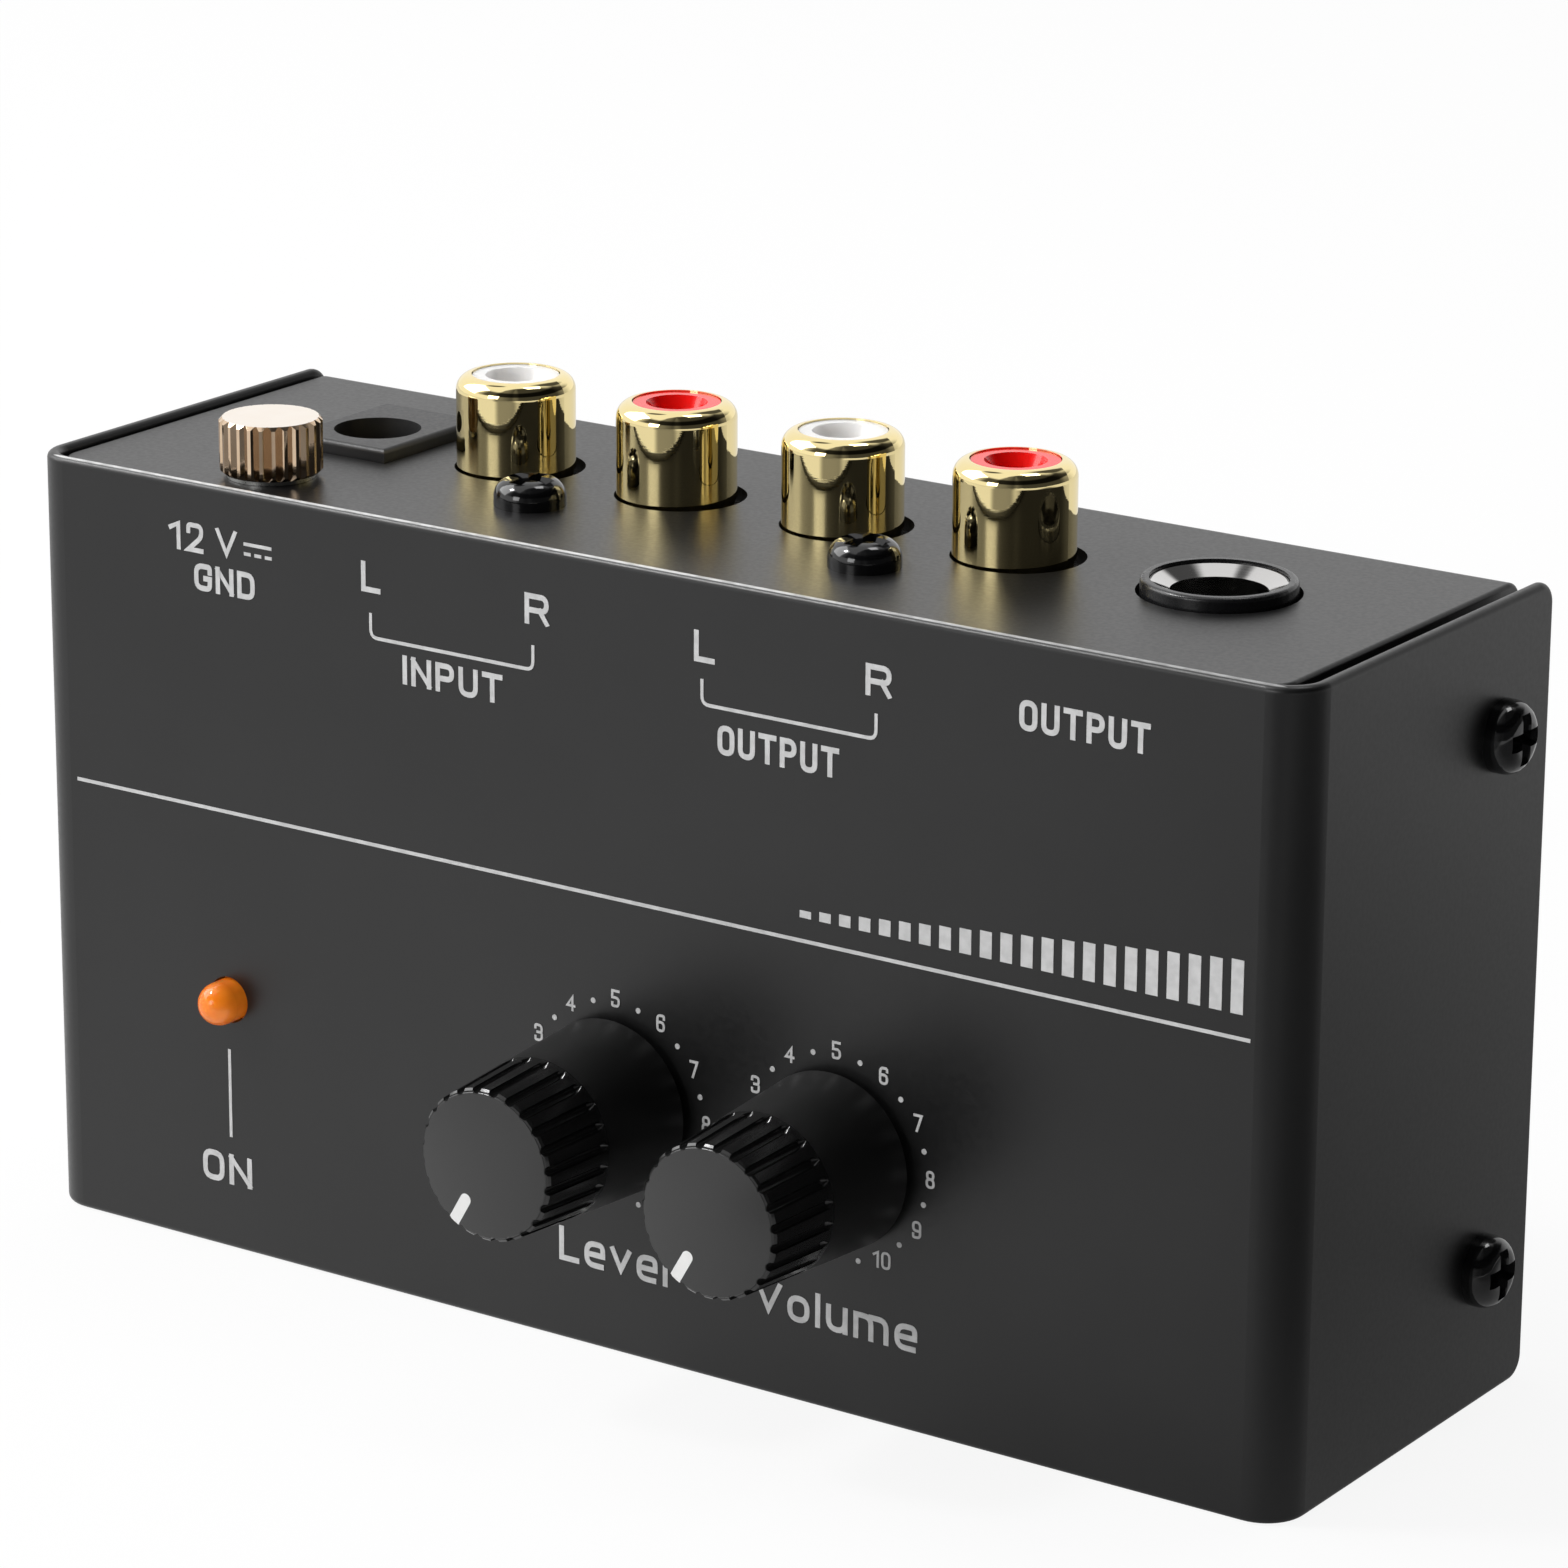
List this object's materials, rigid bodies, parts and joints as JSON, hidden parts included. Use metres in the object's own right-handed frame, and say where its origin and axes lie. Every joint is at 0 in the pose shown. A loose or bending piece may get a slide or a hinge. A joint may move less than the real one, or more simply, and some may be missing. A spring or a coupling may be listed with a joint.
{
  "type": "phono preamp",
  "caption": "Small box-shaped phono preamp: dial knobs and a power lamp in front, phono sockets, a phone jack, a power inlet and a ground screw on the connector panel.",
  "frame": {"origin": "centre of the long narrow face that the case stands on, opposite the connector panel", "axes": "+X to the right along the case as the control face is looked at, +Y from the control face to the back plate, +Z from the standing face to the connector panel"},
  "size_m": [0.1068, 0.0493, 0.0622],
  "materials": {
    "black_paint": "satin powder coat",
    "black_screw": "glossy black",
    "foot_rubber": "matt",
    "board": "solder mask",
    "steel": "zinc plated",
    "black_plastic": "moulded",
    "inlet_plastic": "satin moulded",
    "pot_plastic": "moulded",
    "gold_plate": "polished gold plate",
    "white_insulator": "glossy",
    "red_insulator": "glossy",
    "contact_metal": "plated",
    "tinned_pin": "tinned",
    "thumb_screw_plate": "polished champagne plate",
    "bush_brass": "turned",
    "wire_insulation": "flexible",
    "chrome": "polished",
    "shaft_metal": "turned",
    "track_wafer": "phenolic",
    "knob_plastic": "satin to gloss",
    "pointer_white": "inlaid",
    "amber_lens": "diffused epoxy",
    "chip_epoxy": "moulded epoxy",
    "capacitor_sleeve": "shrink sleeve",
    "film_box": "dipped",
    "resistor_lacquer": "lacquer"
  },
  "bodies": {
    "case": {"front_cover": "black_paint", "rear_chassis": "black_paint", "cover_screws": "black_screw", "jack_block_screws": "black_screw", "rubber_feet": "foot_rubber", "circuit_board": "board", "board_standoffs": "steel", "board_screws": "steel", "ground_lug": "steel", "input_jack_block": "black_plastic", "output_jack_block": "black_plastic", "phone_jack_body": "black_plastic", "lamp_spacer": "black_plastic", "power_inlet_body": "inlet_plastic", "level_pot_body": "pot_plastic", "volume_pot_body": "pot_plastic", "input_left_shell": "gold_plate", "input_right_shell": "gold_plate", "output_left_shell": "gold_plate", "output_right_shell": "gold_plate", "input_left_insulator": "white_insulator", "output_left_insulator": "white_insulator", "input_right_insulator": "red_insulator", "output_right_insulator": "red_insulator", "input_left_contact": "contact_metal", "input_right_contact": "contact_metal", "output_left_contact": "contact_metal", "output_right_contact": "contact_metal", "phone_jack_contacts": "contact_metal", "power_inlet_pin": "contact_metal", "jack_solder_pins": "tinned_pin", "power_inlet_tabs": "tinned_pin", "phone_jack_pins": "tinned_pin", "pot_solder_pins": "tinned_pin", "lamp_leads": "tinned_pin", "ground_bush": "bush_brass", "ground_wire": "wire_insulation", "phone_jack_nose": "chrome", "level_pot_bush": "shaft_metal", "volume_pot_bush": "shaft_metal", "level_pot_tracks": "track_wafer", "volume_pot_tracks": "track_wafer", "lamp_lens": "amber_lens", "op_amp_chips": "chip_epoxy", "voltage_regulator": "chip_epoxy", "protection_diode": "chip_epoxy", "electrolytic_capacitors": "capacitor_sleeve", "film_capacitors": "film_box", "resistors": "resistor_lacquer"},
    "level_control": {"level_knob": "knob_plastic", "level_pointer": "pointer_white", "level_shaft": "shaft_metal", "level_wiper": "contact_metal"},
    "volume_control": {"volume_knob": "knob_plastic", "volume_pointer": "pointer_white", "volume_shaft": "shaft_metal", "volume_wiper": "contact_metal"},
    "ground_washer": {"ground_washer": "steel"},
    "ground_screw": {"ground_screw": "thumb_screw_plate"}
  },
  "joints": [
    {"name": "level_turn", "type": "hinge", "parent": "case", "child": "level_control", "pos_m": [-0.0009, -0.01625, 0.0182], "axis": [0, 1, 0], "range_deg": [0, 300]},
    {"name": "volume_turn", "type": "hinge", "parent": "case", "child": "volume_control", "pos_m": [0.017, -0.01625, 0.0182], "axis": [0, 1, 0], "range_deg": [0, 300]},
    {"name": "ground_screw_lift", "type": "slide", "parent": "case", "child": "ground_washer", "axis": [0, 0, 1], "range_m": [0, 0.0021]},
    {"name": "ground_screw_turn", "type": "hinge", "parent": "ground_washer", "child": "ground_screw", "pos_m": [-0.0346, -0.01025, 0.0556], "axis": [0, 0, 1], "range_deg": [0, 1080]}
  ],
  "couplings": [
    {"joint": "ground_screw_turn", "follows": "ground_screw_lift", "rad_per_m": 8976}
  ]
}
